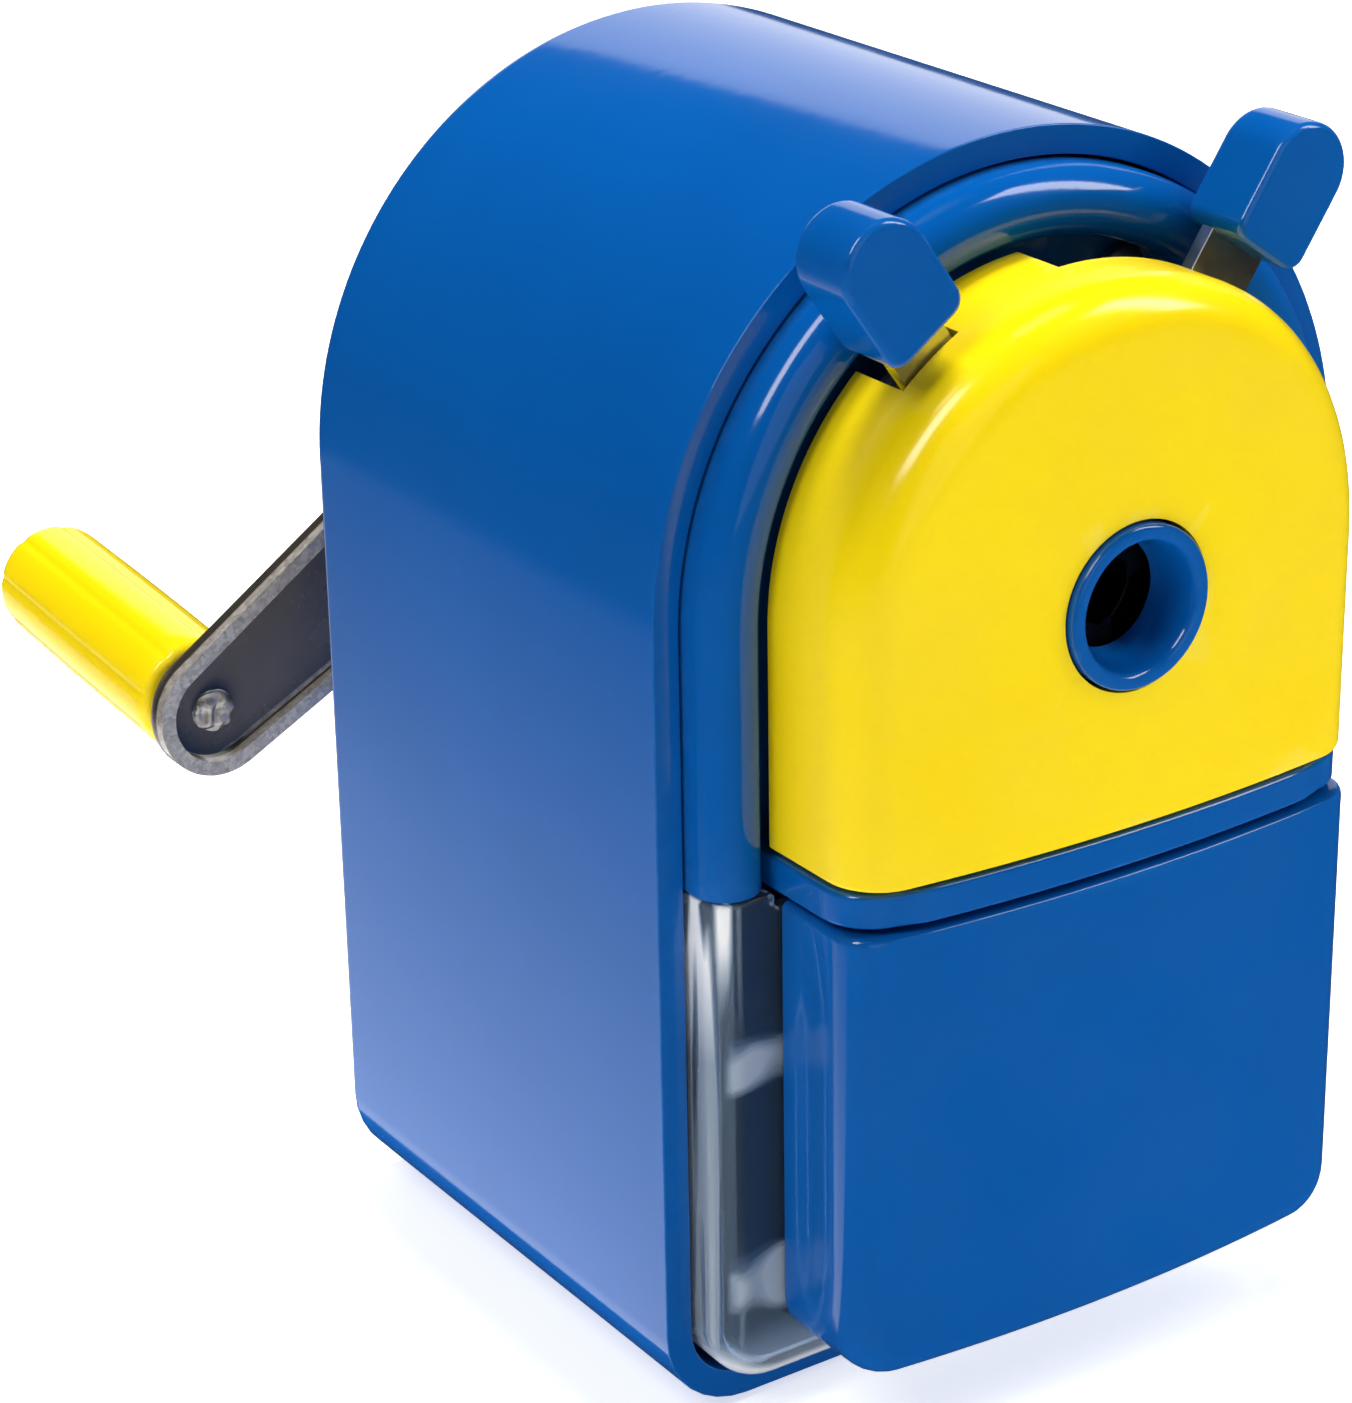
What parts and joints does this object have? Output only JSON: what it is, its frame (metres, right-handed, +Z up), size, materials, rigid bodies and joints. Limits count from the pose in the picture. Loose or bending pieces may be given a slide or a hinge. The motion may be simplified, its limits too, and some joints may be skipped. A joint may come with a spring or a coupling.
{
  "type": "crank pencil sharpener",
  "caption": "Desk pencil sharpener with an arched casing, pull-out feed carriage, squeeze-lever chuck, shavings drawer and rear hand crank.",
  "frame": {"origin": "centre of the whole object's plan box, on the surface that its feet stand on", "axes": "+Z up, +Y from the pencil hole towards the crank, +X to the right when facing the pencil hole"},
  "size_m": [0.0902, 0.1272, 0.1158],
  "materials": {
    "blue_plastic": "glossy moulded ABS, deep blue",
    "yellow_plastic": "glossy moulded ABS, bright yellow",
    "clear_plastic": "clear moulded polystyrene",
    "bright_steel": "zinc-plated or bright steel",
    "chrome": "nickel-chrome plated pressed steel",
    "tool_steel": "hardened steel, machined",
    "zinc_casting": "zinc die casting, satin",
    "brass": "turned brass",
    "acetal": "black acetal, satin",
    "rubber": "black rubber, matt"
  },
  "bodies": {
    "housing": {"housing_shell": "blue_plastic", "front_frame": "blue_plastic", "frame_screw_left": "bright_steel", "frame_screw_right": "bright_steel", "foot_front_left": "rubber", "foot_front_right": "rubber", "foot_rear_left": "rubber", "foot_rear_right": "rubber", "rear_bearing_cap": "blue_plastic", "ring_gear": "zinc_casting", "rear_bush": "brass", "nose_bush": "acetal"},
    "carriage": {"front_cap": "yellow_plastic", "hole_ring": "blue_plastic", "carriage_plate": "bright_steel", "left_tab": "blue_plastic", "cap_screw_left": "bright_steel", "cap_screw_right": "bright_steel", "guide_rod_left": "bright_steel", "guide_rod_right": "bright_steel", "rod_clip_left": "bright_steel", "rod_clip_right": "bright_steel", "feed_spring_left": "bright_steel", "feed_spring_right": "bright_steel", "chuck_sleeve": "brass", "jaw_pin_1": "bright_steel", "jaw_pin_2": "bright_steel", "jaw_pin_3": "bright_steel"},
    "chuck_ring": {"chuck_lever": "bright_steel", "right_tab": "blue_plastic"},
    "jaw_1": {"chuck_jaw_1": "tool_steel"},
    "jaw_2": {"chuck_jaw_2": "tool_steel"},
    "jaw_3": {"chuck_jaw_3": "tool_steel"},
    "crank": {"cutter_carrier": "zinc_casting", "cutter_axle": "bright_steel", "crank_shaft": "bright_steel", "crank_arm": "chrome", "crank_washer": "bright_steel", "crank_nut": "bright_steel", "grip_pin": "chrome"},
    "cutter": {"helical_cutter": "tool_steel", "cutter_pinion": "tool_steel"},
    "grip": {"crank_grip": "yellow_plastic"},
    "drawer": {"drawer_body": "clear_plastic", "drawer_front": "blue_plastic"}
  },
  "joints": [
    {"name": "carriage_slide", "type": "slide", "parent": "housing", "child": "carriage", "axis": [0, -1, 0], "range_m": [0, 0.025], "stiffness_N_per_m": 200, "springref_m": -0.02, "deforming": ["feed_spring_left", "feed_spring_right"]},
    {"name": "chuck_turn", "type": "hinge", "parent": "carriage", "child": "chuck_ring", "pos_m": [0.00707, -0.05264, 0.0778], "axis": [0, -1, 0], "range_deg": [0, 30], "stiffness_Nm_per_rad": 0.25, "springref_deg": -14.32},
    {"name": "jaw_1_turn", "type": "hinge", "parent": "carriage", "child": "jaw_1", "pos_m": [0.02049, -0.05644, 0.08555], "axis": [0, -1, 0], "range_deg": [0, 28.2]},
    {"name": "jaw_2_turn", "type": "hinge", "parent": "carriage", "child": "jaw_2", "pos_m": [-0.00636, -0.05644, 0.08555], "axis": [0, -1, 0], "range_deg": [0, 28.2]},
    {"name": "jaw_3_turn", "type": "hinge", "parent": "carriage", "child": "jaw_3", "pos_m": [0.00707, -0.05644, 0.0623], "axis": [0, -1, 0], "range_deg": [0, 28.2]},
    {"name": "crank_turn", "type": "hinge", "parent": "housing", "child": "crank", "pos_m": [0.00707, 0.01476, 0.0778], "axis": [0, 1, 0], "continuous": true},
    {"name": "cutter_spin", "type": "hinge", "parent": "crank", "child": "cutter", "pos_m": [0.00707, 0.00306, 0.0848], "axis": [0, 0.9833, -0.1822], "continuous": true},
    {"name": "grip_spin", "type": "hinge", "parent": "crank", "child": "grip", "pos_m": [-0.03862, 0.02436, 0.05035], "axis": [0.0449, 0.9986, 0.027], "continuous": true},
    {"name": "drawer_slide", "type": "slide", "parent": "housing", "child": "drawer", "axis": [0, -1, 0], "range_m": [0, 0.052]}
  ],
  "couplings": [
    {"joint": "jaw_1_turn", "follows": "chuck_turn", "ratio": 0.93333},
    {"joint": "jaw_2_turn", "follows": "chuck_turn", "ratio": 0.93333},
    {"joint": "jaw_3_turn", "follows": "chuck_turn", "ratio": 0.93333},
    {"joint": "cutter_spin", "follows": "crank_turn", "ratio": -2.1667}
  ]
}
